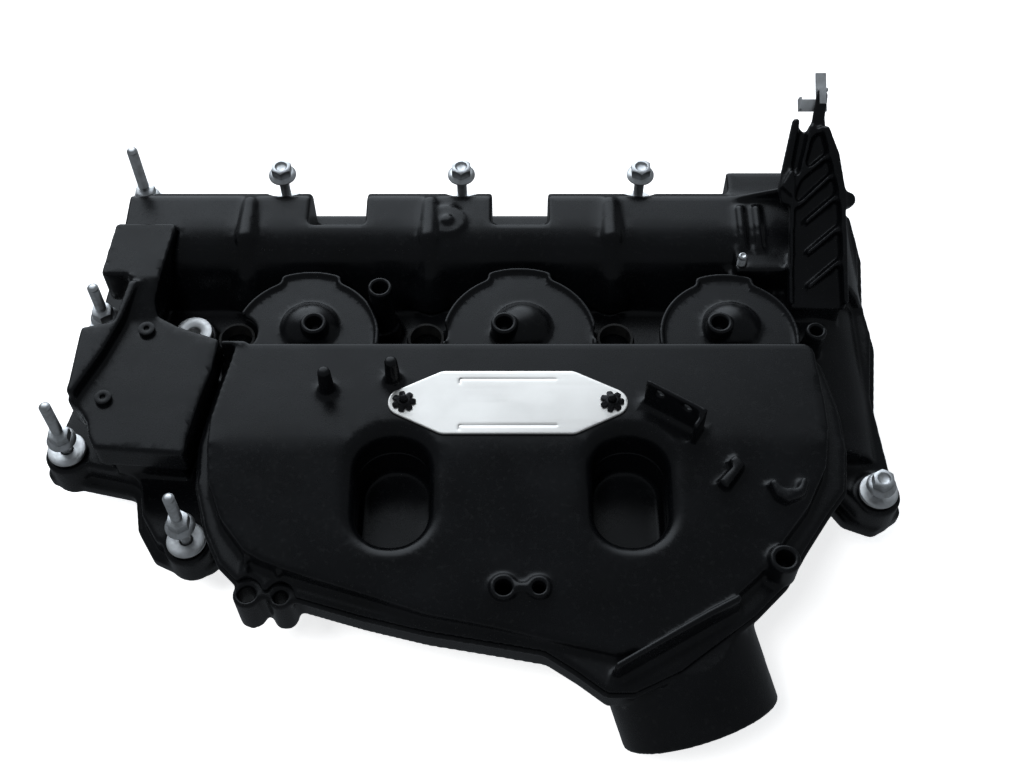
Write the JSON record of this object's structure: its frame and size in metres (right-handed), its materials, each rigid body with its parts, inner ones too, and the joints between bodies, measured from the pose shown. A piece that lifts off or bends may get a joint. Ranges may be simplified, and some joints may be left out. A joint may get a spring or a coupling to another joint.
{
  "type": "valve cover with intake plenum",
  "caption": "Moulded black valve cover for one bank of a V engine, with welded intake plenum, breather box, runner caps, injector wells, captive bolts and studs, and an inlet spigot.",
  "frame": {"origin": "on the axis of the middle injector bore, on the gasket plane", "axes": "+Z away from the cylinder head along the injector bores, +X along the crankshaft towards the chain-drive end, +Y across the head towards the cam box"},
  "size_m": [0.4471, 0.3449, 0.1471],
  "materials": {
    "moulding": "glass-filled nylon, satin, as moulded",
    "seal_rubber": "matt black rubber",
    "zinc_steel": "bright zinc plated",
    "bright_steel": "bright zinc plated, smooth",
    "black_steel": "phosphated spring steel",
    "plate_aluminium": "brushed, plain"
  },
  "bodies": {
    "cover": {"cover_base": "moulding", "plenum_lower_shell": "moulding", "plenum_upper_shell": "moulding", "runner_cap_left": "moulding", "runner_cap_middle": "moulding", "runner_cap_right": "moulding", "breather_box_cover": "moulding", "separator_baffle": "moulding", "oil_baffle_plate": "moulding", "baffle_screws": "zinc_steel", "cover_gasket": "seal_rubber", "injector_seals": "seal_rubber", "port_seals": "seal_rubber", "bolt_sleeves": "bright_steel", "bolt_grommets": "seal_rubber", "cap_stud": "zinc_steel", "nameplate": "plate_aluminium", "push_nuts": "black_steel", "bracket_clip": "bright_steel", "box_plugs": "moulding"},
    "back_left_bolt": {"bolt_back_left": "zinc_steel"},
    "back_middle_bolt": {"bolt_back_middle": "zinc_steel"},
    "back_right_bolt": {"bolt_back_right": "zinc_steel"},
    "right_bolt": {"bolt_right": "zinc_steel"},
    "back_left_stud": {"stud_back_left": "zinc_steel"},
    "left_stud": {"stud_left": "zinc_steel"},
    "front_left_stud": {"stud_front_left": "zinc_steel"},
    "mid_left_stud": {"stud_mid_left": "zinc_steel"}
  },
  "joints": [
    {"name": "back_left_bolt_slide", "type": "slide", "parent": "cover", "child": "back_left_bolt", "axis": [0, 0, 1], "range_m": [-0.024, 0.004]},
    {"name": "back_middle_bolt_slide", "type": "slide", "parent": "cover", "child": "back_middle_bolt", "axis": [0, 0, 1], "range_m": [-0.024, 0.004]},
    {"name": "back_right_bolt_slide", "type": "slide", "parent": "cover", "child": "back_right_bolt", "axis": [0, 0, 1], "range_m": [-0.024, 0.004]},
    {"name": "right_bolt_slide", "type": "slide", "parent": "cover", "child": "right_bolt", "axis": [0, 0, 1], "range_m": [-0.005, 0.023]},
    {"name": "back_left_stud_slide", "type": "slide", "parent": "cover", "child": "back_left_stud", "axis": [0, 0, 1], "range_m": [-0.005, 0.023]},
    {"name": "left_stud_slide", "type": "slide", "parent": "cover", "child": "left_stud", "axis": [0, 0, 1], "range_m": [-0.009, 0.019]},
    {"name": "front_left_stud_slide", "type": "slide", "parent": "cover", "child": "front_left_stud", "axis": [0, 0, 1], "range_m": [-0.014, 0.014]},
    {"name": "mid_left_stud_slide", "type": "slide", "parent": "cover", "child": "mid_left_stud", "axis": [0, 0, 1], "range_m": [-0.007, 0.021]}
  ]
}
